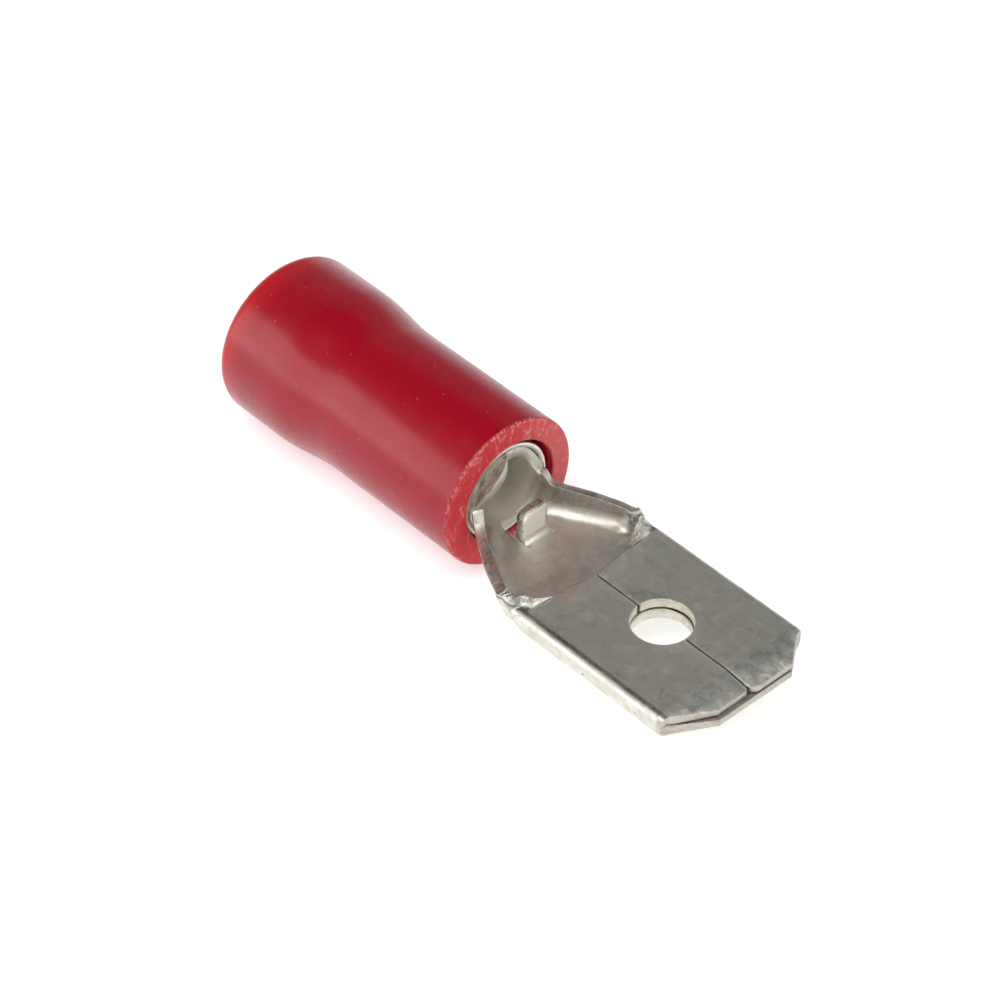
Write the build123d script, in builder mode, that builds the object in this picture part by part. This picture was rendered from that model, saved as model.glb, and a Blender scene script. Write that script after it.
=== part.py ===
from build123d import *
import os
from math import cos, exp, radians, sin

# Insulated male spade terminal for a 6.3 x 0.8 mm receptacle, all lengths in millimetres.
# X points along the terminal to the tip of the blade, Y across the blade, Z up.
# The origin is where the axis of the blade's hole meets the underside of the blade.

# Strip that the terminal is folded from
tab_thickness = 0.8
layer_gap = 0.04
seam_gap = 0.06
sheet = (tab_thickness - layer_gap) / 2

# Blade
tab_width = 6.3
hole_to_tip = 4.08
hole_to_flap_rear = 3.2
flap_rear_notch = 0.16
flap_notch_width = 3.4
lower_hole_radius = 1.0
flap_hole_radius = 1.04
flap_hole_offset = 0.03
lead_in = 1.15
lead_in_top_drop = 0.17
lead_in_bottom_rise = 0.12
corner_length = 1.08
right_corner_width = 1.4
left_corner_width = 1.7
left_flap_corner_length = 1.28
left_flap_corner_width = 2.0
right_flap_setback = 0.05
left_flap_setback = 0.15
right_flap_corner_radius = 0.35
left_flap_corner_radius = 0.18
flap_rear_corner_radius = 0.2
seam_groove_width = 0.12
seam_groove_depth = 0.05

# Trough between the blade and the barrel, with walls that lean outwards
trough_length = 2.75
wall_angle = 72
wall_height = 0.96
wall_height_at_barrel = 1.22
trough_bend = 0.35
flare_bow = 0.25
roll_settling = 0.28
edge_settling = 0.2
shoulder_inset = 0.05
least_floor = 0.005
trough_shares = (0, 0.05, 0.12, 0.22, 0.36, 0.6, 0.8, 1)

# Fold, where each wall lies over to become a flap: share of the length, angle, bend and leg
fold_length = 1.17
fold_steps = ((0.25, 98, 0.27, 0.3), (0.5, 135, 0.15, 0.3), (0.75, 168, 0.06, 0.55))

# Barrel that is crimped on the wire
barrel_bore_radius = 1.21
barrel_length = 5.2
notch_angle = 98
seam_setback = 0.14
lobe_low_share = 0.4
lobe_high_share = 0.75
left_lobe = (0.2, 0.3)
right_lobe = (-0.2, -0.1)

# Wire stop, lanced out of the trough's floor and bent upright
stop_width = 1.15
stop_height = 1.5
stop_distance = 1.09
stop_bend = 0.15
window_length = 0.85
window_corner_radius = 0.25

# Support sleeve, a thin tube pressed over the barrel
tube_wall = 0.2
press_clearance = 0.01
tube_recess = 0.05
tube_end_inset = 1.1
tube_rear_bore_radius = 1.85

# Insulating sleeve
cover_ahead_of_barrel = 0.05
cover_length = 11.41
cover_wall = 0.95
cover_front_bore_gap = 0.09
cover_front_bore_depth = 0.7
cover_front_rim = 0.06
neck_front_distance = 6.25
neck_length = 2.5
rear_rim_radius = 0.3
mouth_flare = 0.45
mouth_depth = 0.9

# Turn of the round sections about the wire's axis, so that meshes of the sleeve get a face
# at the bottom, where the terminal rests, and not an edge
section_turn = 3.2

# Positions along X
tip_x = hole_to_tip
flap_rear_x = -hole_to_flap_rear
shoulder_x = flap_rear_x - fold_length
barrel_front_x = shoulder_x - trough_length
barrel_rear_x = barrel_front_x - barrel_length
cover_front_x = barrel_front_x - cover_ahead_of_barrel
cover_rear_x = cover_front_x - cover_length
neck_front_x = cover_front_x - neck_front_distance
neck_rear_x = neck_front_x - neck_length

# Heights and radii that follow from the sizes above
half_width = tab_width / 2
upper_layer_z = sheet + layer_gap
barrel_radius = barrel_bore_radius + sheet
axis_z = barrel_radius
notch_z = axis_z - barrel_radius * cos(radians(notch_angle))
tube_bore_radius = barrel_radius + press_clearance
tube_radius = tube_bore_radius + tube_wall
tube_rear_radius = tube_rear_bore_radius + tube_wall
grip_radius = tube_radius + press_clearance
rear_grip_radius = tube_rear_radius + press_clearance
cover_radius = grip_radius + cover_wall
cover_rear_radius = rear_grip_radius + cover_wall
wire_axis = Axis((0, 0, axis_z), (1, 0, 0))

# Room that a cutting solid takes beyond the metal it cuts
spare = 1.0

# Plane through the wire's axis, on which a point is a place along X and a radius
radial_plane = Plane((0, 0, axis_z), (1, 0, 0), (0, -1, 0)).rotated((section_turn, 0, 0))


def cross_plane(x):
    """Plane across the terminal at x, with its own x along Y and its own y along Z."""
    return Plane(origin=(x, 0, 0), x_dir=(0, 1, 0), z_dir=(1, 0, 0))


def strip_section(x, floor, bend, angle, leg):
    """Right half of the strip at x: a flat floor, a bend through an angle and a straight leg."""
    turn = radians(angle)
    outer = bend + sheet
    along = Vector(cos(turn), sin(turn)) * leg
    across = Vector(-sin(turn), cos(turn)) * sheet
    with BuildSketch(cross_plane(x)) as section:
        with BuildLine():
            Line((0, 0), (floor, 0))
            outside = CenterArc((floor, outer), outer, -90, angle)
            top_corner = outside @ 1 + along
            Polyline(outside @ 1, top_corner, top_corner + across, outside @ 1 + across)
            CenterArc((floor, outer), bend, angle - 90, -angle)
            Polyline((floor, sheet), (0, sheet), (0, 0))
        make_face()
    return section.sketch


def trough_station(share):
    """Strip section at a share of the way from the barrel to the shoulder of the blade."""
    rolled = exp(-share * trough_length / roll_settling)
    raised = exp(-share * trough_length / edge_settling)
    bend = trough_bend + (barrel_bore_radius - trough_bend) * rolled
    angle = wall_angle + (notch_angle - wall_angle) * rolled
    outer = bend + sheet
    turn = radians(angle)
    open_height = wall_height_at_barrel + (wall_height - wall_height_at_barrel) * share
    height = open_height + (notch_z + press_clearance - open_height) * raised
    leg = (height - outer * (1 - cos(turn))) / sin(turn)
    spread = share * (1 + flare_bow * (1 - share))
    edge_y = barrel_radius + (half_width - shoulder_inset - barrel_radius) * spread
    floor = max(edge_y - outer * sin(turn) - leg * cos(turn), least_floor)
    return strip_section(barrel_front_x + share * trough_length, floor, bend, angle, leg)


def fold_station(share, angle, bend, leg):
    """Strip section in the fold, where the trough's wall lies over to become a flap."""
    reach = (bend + sheet) * sin(radians(min(angle, 90)))
    floor = half_width - shoulder_inset * (1 - share) - reach
    return strip_section(shoulder_x + share * fold_length, floor, bend, angle, leg)


def barrel_half(lobe):
    """Right half of the rolled barrel; its front edge lies ahead of the barrel by the lobe's values."""
    lobe_low, lobe_high = lobe
    with BuildPart() as half:
        with BuildSketch(cross_plane(barrel_rear_x)):
            with BuildLine():
                Line((0, sheet), (0, 0))
                CenterArc((0, axis_z), barrel_radius, -90, 180)
                Line((0, 2 * barrel_radius), (0, 2 * barrel_radius - sheet))
                CenterArc((0, axis_z), barrel_bore_radius, 90, -180)
            make_face()
        extrude(amount=barrel_length + max(0, lobe_low, lobe_high))
        seam_x = barrel_front_x - seam_setback
        with BuildSketch(Plane.XZ):
            with BuildLine():
                Polyline(
                    (seam_x, 2 * barrel_radius),
                    (seam_x, 2 * barrel_radius + spare),
                    (barrel_rear_x - spare, 2 * barrel_radius + spare),
                    (barrel_rear_x - spare, -spare),
                    (barrel_front_x, -spare),
                    (barrel_front_x, notch_z),
                )
                Spline(
                    (barrel_front_x, notch_z),
                    (barrel_front_x + lobe_low, axis_z + barrel_radius * lobe_low_share),
                    (barrel_front_x + lobe_high, axis_z + barrel_radius * lobe_high_share),
                    (seam_x, 2 * barrel_radius),
                )
            make_face()
        extrude(amount=2 * tab_width, both=True, mode=Mode.INTERSECT)
    return half.part


def tip_corner(side, length, width):
    """Triangle that is cut off the tip's corner, a length along the blade and a width across it."""
    with BuildSketch() as corner:
        with BuildLine():
            Polyline(
                (tip_x - length, side * (half_width + spare)),
                (tip_x - length, side * half_width),
                (tip_x, side * (half_width - width)),
                (tip_x + spare, side * (half_width - width)),
                (tip_x + spare, side * (half_width + spare)),
                close=True,
            )
        make_face()
    return corner.sketch


def rounded_off(x, side, inward, radius):
    """Sliver that is cut off a flap's corner at the seam; inward points from x into the flap."""
    reach = seam_gap / 2 + radius
    with BuildSketch() as sliver:
        with Locations((x + inward * radius / 2, side * reach / 2)):
            Rectangle(radius, reach)
        with Locations((x + inward * radius, side * reach)):
            Circle(radius, mode=Mode.SUBTRACT)
    return sliver.sketch


def neck_line(front_radius, rear_radius):
    """Smooth line of a neck, from the narrow radius in front to the wide one behind it."""
    return Spline(
        (neck_front_x, front_radius),
        (neck_rear_x, rear_radius),
        tangents=[(-1, 0), (-1, 0)],
    )


# One strip, rolled to a barrel at one end and folded double to a blade at the other
with BuildPart() as terminal:
    loft([trough_station(share) for share in trough_shares])

    fold_radius = sheet + layer_gap / 2
    flap_lap = flap_notch_width / 2 - sheet
    fold_sections = [trough_station(1)]
    fold_sections += [fold_station(*step) for step in fold_steps]
    fold_sections += [fold_station(1, 180, layer_gap / 2, flap_lap)]
    loft(fold_sections)

    flap = half_width - fold_radius - seam_gap / 2
    blade_section = strip_section(flap_rear_x, half_width - fold_radius, layer_gap / 2, 180, flap)
    extrude(blade_section, amount=tip_x - flap_rear_x)

    mirror(about=Plane.XZ)
    add(barrel_half(right_lobe))
    add(mirror(barrel_half(left_lobe), about=Plane.XZ, mode=Mode.PRIVATE))

    # Butt seam along the top of the barrel
    with BuildSketch(Plane.XY.offset(axis_z)):
        with Locations((barrel_rear_x - spare, 0)):
            Rectangle(barrel_length + 2 * spare, seam_gap, align=(Align.MIN, Align.CENTER))
    extrude(amount=barrel_radius + spare, mode=Mode.SUBTRACT)

    # Hole of the blade, a little wider through the flaps
    with BuildSketch(Plane.XY.offset(-spare)):
        Circle(lower_hole_radius)
    extrude(amount=tab_thickness + 2 * spare, mode=Mode.SUBTRACT)
    with BuildSketch(Plane.XY.offset(sheet)):
        with Locations((0, flap_hole_offset)):
            Circle(flap_hole_radius)
    extrude(amount=spare, mode=Mode.SUBTRACT)

    # Tip: corners cut off, the left one deeper, and most of all through its flap
    right_corner = tip_corner(1, corner_length, right_corner_width)
    left_corner = tip_corner(-1, corner_length, left_corner_width)
    left_flap_corner = tip_corner(-1, left_flap_corner_length, left_flap_corner_width)
    for corner in (right_corner, left_corner):
        extrude(Plane.XY.offset(-spare) * corner, amount=tab_thickness + 2 * spare, mode=Mode.SUBTRACT)
    extrude(Plane.XY.offset(sheet) * left_flap_corner, amount=spare, mode=Mode.SUBTRACT)

    # Lead-in: both faces of the tip pressed to a taper
    lead_in_x = tip_x - lead_in
    with BuildSketch(Plane.XZ):
        with BuildLine():
            Polyline(
                (lead_in_x, tab_thickness),
                (tip_x, tab_thickness - lead_in_top_drop),
                (tip_x, tab_thickness + spare),
                (lead_in_x, tab_thickness + spare),
                close=True,
            )
        make_face()
        with BuildLine():
            Polyline(
                (lead_in_x, 0),
                (tip_x, lead_in_bottom_rise),
                (tip_x, -spare),
                (lead_in_x, -spare),
                close=True,
            )
        make_face()
    extrude(amount=tab_width, both=True, mode=Mode.SUBTRACT)

    # The flaps end a little short of the tip, with rounded corners at the seam
    for side, setback, radius in (
        (1, right_flap_setback, right_flap_corner_radius),
        (-1, left_flap_setback, left_flap_corner_radius),
    ):
        with BuildSketch(Plane.XY.offset(sheet)):
            with Locations((tip_x, side * half_width / 2)):
                Rectangle(2 * setback, half_width)
        extrude(amount=spare, mode=Mode.SUBTRACT)
        front_corner = rounded_off(tip_x - setback, side, -1, radius)
        rear_corner = rounded_off(flap_rear_x + flap_rear_notch, side, 1, flap_rear_corner_radius)
        for corner in (front_corner, rear_corner):
            extrude(Plane.XY.offset(sheet) * corner, amount=spare, mode=Mode.SUBTRACT)

    # Shallow notch in the rear edge of the flaps, deepest at the seam
    with BuildSketch(Plane.XY.offset(upper_layer_z - layer_gap / 2)):
        with BuildLine():
            Polyline(
                (flap_rear_x, -flap_notch_width / 2),
                (flap_rear_x + flap_rear_notch, 0),
                (flap_rear_x, flap_notch_width / 2),
                close=True,
            )
        make_face()
    extrude(amount=spare, mode=Mode.SUBTRACT)

    # Groove along the seam, where the sheared edges of the flaps are rounded
    with BuildSketch(Plane.YZ.offset(flap_rear_x - spare)):
        with BuildLine():
            Polyline(
                (-seam_groove_width / 2, tab_thickness),
                (0, tab_thickness - seam_groove_depth),
                (seam_groove_width / 2, tab_thickness),
                (0, tab_thickness + seam_groove_depth),
                close=True,
            )
        make_face()
    extrude(amount=spare + tip_x - flap_rear_x, mode=Mode.SUBTRACT)

    # Wire stop: a window in the floor, and the tongue that was bent up out of it
    stop_x = barrel_front_x + stop_distance
    window_front_x = stop_x + stop_bend
    cut_length = stop_bend + sheet + window_length
    with BuildSketch(Plane.XY.offset(-spare)):
        with Locations((window_front_x - cut_length / 2, 0)):
            window = Rectangle(cut_length, stop_width)
        fillet(window.vertices().sort_by(Axis.X)[:2], window_corner_radius)
    extrude(amount=axis_z, mode=Mode.SUBTRACT)
    with BuildSketch(Plane.XZ):
        with BuildLine():
            bend_center = (stop_x + stop_bend, sheet + stop_bend)
            Polyline(
                (stop_x, sheet + stop_bend),
                (stop_x, stop_height),
                (stop_x - sheet, stop_height),
                (stop_x - sheet, sheet + stop_bend),
            )
            CenterArc(bend_center, stop_bend + sheet, 180, 90)
            Line((window_front_x, 0), (window_front_x, sheet))
            CenterArc(bend_center, stop_bend, 270, -90)
        make_face()
    extrude(amount=stop_width / 2, both=True)

# Thin drawn tube that is pressed over the barrel and grips the wire's insulation
with BuildPart() as support_tube:
    tube_front_x = cover_front_x + tube_recess
    tube_rear_x = cover_rear_x + tube_end_inset
    with BuildSketch(radial_plane):
        with BuildLine():
            Polyline(
                (neck_front_x, tube_bore_radius),
                (tube_front_x, tube_bore_radius),
                (tube_front_x, tube_radius),
                (neck_front_x, tube_radius),
            )
            neck_line(tube_radius, tube_rear_radius)
            Polyline(
                (neck_rear_x, tube_rear_radius),
                (tube_rear_x, tube_rear_radius),
                (tube_rear_x, tube_rear_bore_radius),
                (neck_rear_x, tube_rear_bore_radius),
            )
            neck_line(tube_bore_radius, tube_rear_bore_radius)
        make_face()
    revolve(axis=wire_axis)

# Moulded insulating sleeve over the tube, with a neck and a flared mouth for the wire
with BuildPart() as insulating_sleeve:
    front_rim_x = cover_front_x - cover_front_rim
    rear_rim_x = cover_rear_x + rear_rim_radius
    with BuildSketch(radial_plane):
        with BuildLine():
            Polyline(
                (neck_front_x, grip_radius),
                (cover_front_x - cover_front_bore_depth, grip_radius),
                (cover_front_x, grip_radius + cover_front_bore_gap),
                (cover_front_x, cover_radius - cover_front_rim),
                (front_rim_x, cover_radius),
                (neck_front_x, cover_radius),
            )
            neck_line(cover_radius, cover_rear_radius)
            Line((neck_rear_x, cover_rear_radius), (rear_rim_x, cover_rear_radius))
            Bezier(
                (rear_rim_x, cover_rear_radius),
                (cover_rear_x, cover_rear_radius),
                (cover_rear_x, cover_rear_radius - rear_rim_radius),
            )
            Polyline(
                (cover_rear_x, cover_rear_radius - rear_rim_radius),
                (cover_rear_x, rear_grip_radius + mouth_flare),
                (cover_rear_x + mouth_depth, rear_grip_radius),
                (neck_rear_x, rear_grip_radius),
            )
            neck_line(grip_radius, rear_grip_radius)
        make_face()
    revolve(axis=wire_axis)

os.makedirs("parts", exist_ok=True)
for name, piece in (
    ("terminal", terminal),
    ("support_tube", support_tube),
    ("insulating_sleeve", insulating_sleeve),
):
    piece.part.label = name
    export_step(piece.part, f"parts/{name}.step")
    print(name, "volume", round(piece.part.volume, 3), "mm3")
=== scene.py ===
"""Insulated male spade terminal, dressed for a studio view.

The tinned strip is laid out as flat grids, folded and rolled, and then given its thickness.
The support tube and the insulating sleeve are extruded from circles, ring by ring.
Every finish is made of nodes on object coordinates, in metres.
"""

import math

import bmesh
import bpy
from bpy.props import FloatProperty, FloatVectorProperty, IntProperty, PointerProperty
from bpy.types import Operator, Panel, PropertyGroup
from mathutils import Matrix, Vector, noise


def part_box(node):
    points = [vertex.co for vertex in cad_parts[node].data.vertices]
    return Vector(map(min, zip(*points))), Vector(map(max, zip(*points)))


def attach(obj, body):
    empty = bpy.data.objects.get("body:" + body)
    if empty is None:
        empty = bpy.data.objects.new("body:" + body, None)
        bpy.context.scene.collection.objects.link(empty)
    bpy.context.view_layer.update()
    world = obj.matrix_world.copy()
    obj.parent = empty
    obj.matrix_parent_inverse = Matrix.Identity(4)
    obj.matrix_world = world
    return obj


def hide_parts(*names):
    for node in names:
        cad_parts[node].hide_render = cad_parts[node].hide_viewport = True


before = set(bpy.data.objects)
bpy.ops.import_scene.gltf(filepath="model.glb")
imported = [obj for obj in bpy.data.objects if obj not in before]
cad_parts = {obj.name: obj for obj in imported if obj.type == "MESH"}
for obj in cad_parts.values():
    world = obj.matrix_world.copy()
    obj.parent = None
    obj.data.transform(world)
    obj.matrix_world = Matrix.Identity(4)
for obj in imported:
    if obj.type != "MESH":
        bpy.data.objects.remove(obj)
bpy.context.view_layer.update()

bl_info = {
    "name": "Male spade terminal",
    "version": (1, 0, 0),
    "blender": (4, 5, 0),
    "location": "View3D > Sidebar > Terminal",
    "description": "Builds an insulated male spade terminal and the stage it is seen on",
    "category": "Object",
}

MM = 0.001

STRIP_LOW, STRIP_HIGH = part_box("terminal")
TUBE_LOW, TUBE_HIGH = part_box("support_tube")
SLEEVE_LOW, SLEEVE_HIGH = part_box("insulating_sleeve")

# Sizes and places are in millimetres and angles in degrees, unless a comment says otherwise

# Sheet, slit between the blade's two layers, and seam between its flaps
SHEET = 0.38
LAYER_GAP = 0.04
SPLIT = SHEET + LAYER_GAP / 2
FLAP_UNDER = SHEET + LAYER_GAP
FLAP_TOP = FLAP_UNDER + SHEET
SEAM_GAP = 0.024

# Blade and its flaps
HALF_WIDTH = 3.15
TIP = STRIP_HIGH.x / MM
FLAP_REAR = -3.2
FLAP_NOTCH = 0.16
FLAP_ROUND = 0.2

# Lead-in, and how far the lower and the upper face draw in along it
LEAD_IN = TIP - 1.15
LEAD_IN_RISE = 0.12
LEAD_IN_DROP = 0.17

# Heights that are clear of the blade
CLEAR_BELOW = -1.0
CLEAR_ABOVE = 2.0

# Cuts across the tip's corners: side, length, width and the height that each starts above
TIP_CUTS = (
    (1, 1.08, 1.4, CLEAR_BELOW),
    (-1, 1.08, 1.7, CLEAR_BELOW),
    (-1, 1.057, 2.05, SPLIT),
)

# Front ends of the flaps: side, distance behind the tip, and radius at the seam
FLAP_ENDS = ((1, 0.05, 0.35), (-1, 0.15, 0.18))

# Hole in the lower layer, and in the flaps, where it is wider and lies to one side
HOLE_RADIUS = 1.0
FLAP_HOLE_RADIUS = 1.04
FLAP_HOLE_SIDE = 0.03

# Trough between the blade's shoulder and the barrel
SHOULDER = -4.37
SHOULDER_INSET = 0.05
TROUGH_LENGTH = 2.75
WALL_ANGLE = 72
WALL_HEIGHT = 0.96
WALL_AT_BARREL = 1.22
TROUGH_BEND = 0.58
FLARE_BOW = 0.25
ROLL_SETTLING = 0.42
EDGE_SETTLING = 0.2

# Barrel, and the notch where the trough's walls meet its front
BARREL_BORE = 1.21
BARREL_RADIUS = BARREL_BORE + SHEET
BARREL_FRONT = SHOULDER - TROUGH_LENGTH
BARREL_REAR = STRIP_LOW.x / MM
AXIS = BARREL_RADIUS
AXIS_Z = AXIS * MM
NOTCH_ANGLE = 98
NOTCH_Z = AXIS - BARREL_RADIUS * math.cos(math.radians(NOTCH_ANGLE))

# Lobes of the barrel's front edge: how far each reaches forward at the angles after the notch
LOBE_ANGLES = (NOTCH_ANGLE, 120, 145, 180)
LEFT_LOBE = (0.3, 0.42, -0.1)
RIGHT_LOBE = (-0.3, -0.3, -0.2)

# Wire stop; its top corners are given as side, radius and segments
STOP_FRONT = BARREL_FRONT + 1.12
STOP_SIDE = 0.12
STOP_BEND = 0.28
STOP_WIDTH = 1.15
STOP_HEIGHT = 1.58
STOP_ROWS = (0.9, 1.2, STOP_HEIGHT)
STOP_CORNERS = ((-1, 0.52, 6), (1, 0.15, 4))
STOP_LAP = 0.12
STOP_ROUND = 0.1

# Window in the floor that the stop is bent up out of
WINDOW_LENGTH = 0.85
WINDOW_ROUND = 0.25

# Squaring of the blade's folds: the run that it sets in over, and the radius that it spares
SQUARING_RUN = 0.3
FOLD_INSIDE = 0.3

# Press's small swells: their draw, their waves and place in the noise, and their heights
SWELL_SEED = 11
BROAD_WAVES, BROAD_PLACE = 1.1, (3.7, 1.9, 5.3)
CLOSE_WAVES, CLOSE_PLACE = 2.9, (0.4, 7.7, 2.1)
BROAD_SWELL = 0.035
CLOSE_SWELL = 0.008
FOLD_SWELL = 0.085

# Floor, bend, angle and leg at quarters of the fold
FOLD_STEPS = [
    (2.4625, 0.27, 98, 0.3),
    (2.595, 0.15, 135, 0.3),
    (2.6975, 0.06, 168, 0.55),
    (2.75, 0.02, 180, 1.32),
]

# Half width of the flaps' free rear edge, from the seam to the fold
FREE_EDGE = FOLD_STEPS[-1][0] - FOLD_STEPS[-1][3]

# Rows and columns of the strip's grids
FLOOR_STEPS = 6
BEND_STEPS = 16
LEG_STEPS = 6
BARREL_SHARES = (0.0, 0.2, 0.4, 0.6, 0.8, 0.9, 0.95, 0.975, 1.0)
TROUGH_ROWS = 32
TROUGH_CROWDING = 1.25
FOLD_ROWS = 28
BLADE_ROWS = [FLAP_REAR, -2.0, 2.0, LEAD_IN, 3.5, TIP]
ROOF_COLUMNS = 14
FLAP_COLUMNS = 3

# Distances within which points are merged, on the strip's grids and on turned pieces
GRID_MERGE = 0.004
RING_MERGE = 0.0005

# Angles from which an edge is rounded, or stays sharp in the shading
ROUNDED_FROM = 38
STOP_ROUNDED_FROM = 60
STRIP_SHARP_FROM = 35
RING_SHARP_FROM = 40

# Share of its points that a piece keeps in any cut that has gone well
KEPT_SHARE = 0.9

# Neck of the sleeve and the tube, as places along X
NECK_FRONT = -13.42
NECK_REAR = -15.92

# Support tube: radii before and behind its neck, and how far its front edge stands back
TUBE_BORE, TUBE_OUTER = 1.60, 1.80
TUBE_REAR_BORE, TUBE_REAR_OUTER = 1.85, 2.05
TUBE_SETBACK = 0.17
TUBE_NECK_STEPS = 16

# Insulating sleeve: radii before and behind its neck, and its outer rims
SLEEVE_FRONT = SLEEVE_HIGH.x / MM
SLEEVE_REAR = SLEEVE_LOW.x / MM
SLEEVE_GRIP, SLEEVE_OUTER = 1.81, 2.76
SLEEVE_REAR_GRIP, SLEEVE_REAR_OUTER = 2.06, 3.01
SLEEVE_RIM = 0.09
SLEEVE_REAR_RIM = 0.45
SLEEVE_NECK_STEPS = 24

# Sleeve's mouth: distance before its rear, and radius
MOUTH = (
    (0.0, SLEEVE_REAR_GRIP + 0.44),
    (0.03, SLEEVE_REAR_GRIP + 0.37),
    (0.9, SLEEVE_REAR_GRIP),
)

# Lip of the sleeve's front bore: distance behind its front, and radius
FRONT_LIP = ((0.7, SLEEVE_GRIP), (0.04, 1.9), (0.0, 1.94))
LIP_LENGTH = 0.5
LIP_RADIUS = 2.2
LIP_SIDE = 0.085

# Camera: the point that it looks at, and its azimuth and elevation from there
CAMERA_TARGET = (-8.457, 0.754, 0.0)
CAMERA_DIRECTION = (-42.45, 41.7)

# Lamps: azimuth and elevation from their target, distance and size in metres, and watts
LAMP_TARGET = (-7.0, 0.0, 1.0)
LAMPS = {
    "key_lamp": (-75, 62, 0.16, 0.10, 0.15),
    "fill_lamp": (30, 55, 0.18, 0.12, 0.09),
    "left_lamp": (-128, 17, 0.17, 0.12, 0.10),
    "front_lamp": (-15, 20, 0.2, 0.10, 0.05),
}

# Tones of the strip's tin, with painted light and shade among them: the shaded walls, the slit, the
# lit and shaded bore, dark lines by the folds and flaps, and the stop's lit face
STAINED = (0.47, 0.475, 0.42)
SMEARED = (0.88, 0.87, 0.80)
HOLLOW = (0.60, 0.53, 0.47)
SHADED_WALL = (0.29, 0.245, 0.22)
COINED = (0.34, 0.35, 0.36)
RUBBED_DARK = (0.25, 0.255, 0.245)
RUBBED_LIGHT = (0.93, 0.92, 0.87)
RAGGED = (0.26, 0.25, 0.225)
FOLDED = (0.54, 0.525, 0.48)
# Painted shade and dark reflection by the folds and the flaps' edges, also the seam's dark joint
# and dark spots in crumples and pits
DARK_MARKS_AND_SHADE = (0.17, 0.155, 0.135)
SHINING_LINE = (0.86, 0.85, 0.79)
# Painted shade in the slit between the blade's layers
SLIT_SHADE = (0.27, 0.235, 0.195)
LIT_BORE = (0.95, 0.92, 0.84)
SHADED_BORE = (0.42, 0.39, 0.33)
DRAGGED = (0.20, 0.185, 0.155)
# Painted light on the wire stop's front face
LIT_STOP_FACE = (0.97, 0.95, 0.90)

# Tones of the strip's sheared edges, with a painted highlight on the edges in the folds
TORN = (0.55, 0.51, 0.45)
TORN_DARK = (0.36, 0.32, 0.28)
BARREL_EDGE = (0.62, 0.61, 0.55)
BLADE_EDGE = (0.50, 0.455, 0.40)
HOLE_WALL = (0.74, 0.71, 0.62)
# Painted highlight on the sheared edges in the folds
FOLD_EDGE_HIGHLIGHT = (0.93, 0.92, 0.88)
FRACTURE = (0.15, 0.13, 0.11)
SEAM_WALL = (0.20, 0.18, 0.155)

# Tones of the tube and of the sleeve, with the sleeve's painted glow and painted highlight
TUBE_CLOUD = (0.6, 0.57, 0.5)
TUBE_LINES = (0.88, 0.87, 0.84)
DEEP_RED = (0.25, 0.0005, 0.008)
# Painted glow, as of light through the thin red, low down and at the rear
PAINTED_GLOW_RED = (0.56, 0.012, 0.012)
# Lighter cut front face, with a painted glow low down
CUT_RED_AND_GLOW = (0.78, 0.04, 0.05)
# Pale scuffs, and a painted highlight towards the front face's upper right
SCUFF_AND_SHEEN_RED = (0.86, 0.42, 0.36)

# Tones of the studio's walls and ceiling, and the floor's own glow as rays see it
WHITE_WALL = (1.0, 1.0, 1.0)
UPPER_WALL = (0.29, 0.29, 0.29)
CEILING = (0.05, 0.05, 0.05)
FLOOR_GLOW = 0.45


# Settings


class StripSettings(PropertyGroup):
    """Finish of the tinned strip"""

    edge_round: FloatProperty(
        name="Edge rounding",
        description="Width of the rounding along the strip's sheared edges",
        default=0.045 * MM,
        min=0.0,
        subtype="DISTANCE",
        unit="LENGTH",
    )
    tin: FloatVectorProperty(
        name="Tin",
        description="Colour of the tin plating on the flat faces",
        default=(0.76, 0.755, 0.66),
        subtype="COLOR",
    )
    bright: FloatVectorProperty(
        name="Bright tin",
        description="Colour of tin that has been burnished along edges and folds",
        default=(0.93, 0.92, 0.89),
        subtype="COLOR",
    )
    grime: FloatVectorProperty(
        name="Dull tin",
        description="Colour of the dull film in hollows and blotches",
        default=(0.56, 0.53, 0.45),
        subtype="COLOR",
    )


class TubeSettings(PropertyGroup):
    """Size and finish of the support tube"""

    rim_round: FloatProperty(
        name="Rim rounding",
        description="Radius of the tube's rims",
        default=0.07 * MM,
        min=0.0,
        subtype="DISTANCE",
        unit="LENGTH",
    )
    segments: IntProperty(
        name="Segments",
        description="Faces round the tube",
        default=144,
        min=12,
    )
    tin: FloatVectorProperty(
        name="Tin",
        description="Colour of the tube's plating",
        default=(0.78, 0.765, 0.70),
        subtype="COLOR",
    )


class SleeveSettings(PropertyGroup):
    """Size and finish of the insulating sleeve"""

    segments: IntProperty(
        name="Segments",
        description="Faces round the sleeve",
        default=160,
        min=12,
    )
    red: FloatVectorProperty(
        name="Red",
        description="Colour of the moulded sleeve",
        default=(0.32, 0.001, 0.012),
        subtype="COLOR",
    )
    scuff: FloatVectorProperty(
        name="Scuff",
        description="Colour of the pale scuffs on the sleeve's rims and front face",
        default=(0.75, 0.42, 0.38),
        subtype="COLOR",
    )


class StageSettings(PropertyGroup):
    """Camera and floor"""

    distance: FloatProperty(
        name="Camera distance",
        description="Distance of the camera from the point it looks at",
        default=120 * MM,
        subtype="DISTANCE",
        unit="LENGTH",
    )
    lens: FloatProperty(
        name="Lens",
        description="Focal length of the camera",
        default=130.2,
        unit="CAMERA",
    )
    floor: FloatVectorProperty(
        name="Floor",
        description="Colour of the floor",
        default=(0.9, 0.9, 0.9),
        subtype="COLOR",
    )


# Mesh work


def deselect_all():
    """Leaves edit mode and lets go of every object."""
    if bpy.context.object and bpy.context.object.mode != "OBJECT":
        bpy.ops.object.mode_set(mode="OBJECT")
    bpy.ops.object.select_all(action="DESELECT")


def take_up(obj):
    """Makes one object the only selected and active one."""
    deselect_all()
    obj.select_set(True)
    bpy.context.view_layer.objects.active = obj


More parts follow.
